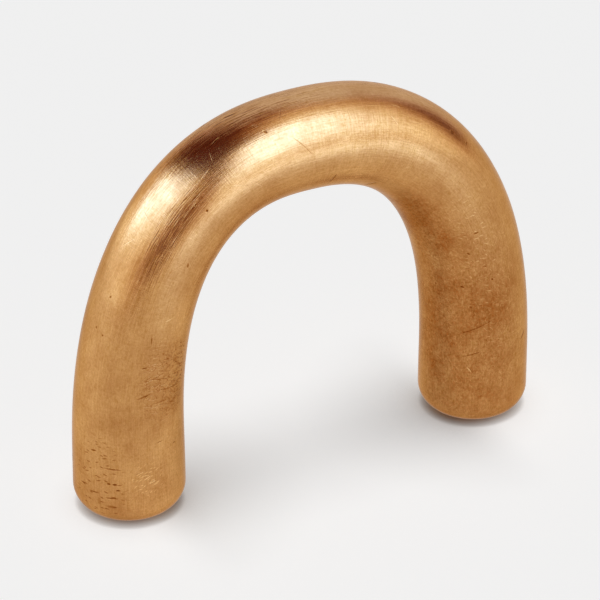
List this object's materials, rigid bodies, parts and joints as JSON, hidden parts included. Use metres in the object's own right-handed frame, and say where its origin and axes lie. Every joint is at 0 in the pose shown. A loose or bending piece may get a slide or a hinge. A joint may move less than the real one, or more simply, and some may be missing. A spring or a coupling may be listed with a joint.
{
  "type": "finger pull",
  "caption": "Solid brass finger pull, a thick round bar bent into a tall arch on two flat feet, each with a blind tapped hole for a screw from behind the panel.",
  "frame": {"origin": "on the panel, midway between the two screw holes", "axes": "+X from the left foot to the right foot, -Y towards the user, +Z off the panel to the top of the arch"},
  "size_m": [0.041, 0.009, 0.0328],
  "materials": {
    "satin_brass": "cast brass, filed and rubbed by hand to a satin finish, lightly aged"
  },
  "bodies": {
    "root": {"pull": "satin_brass"}
  },
  "joints": []
}
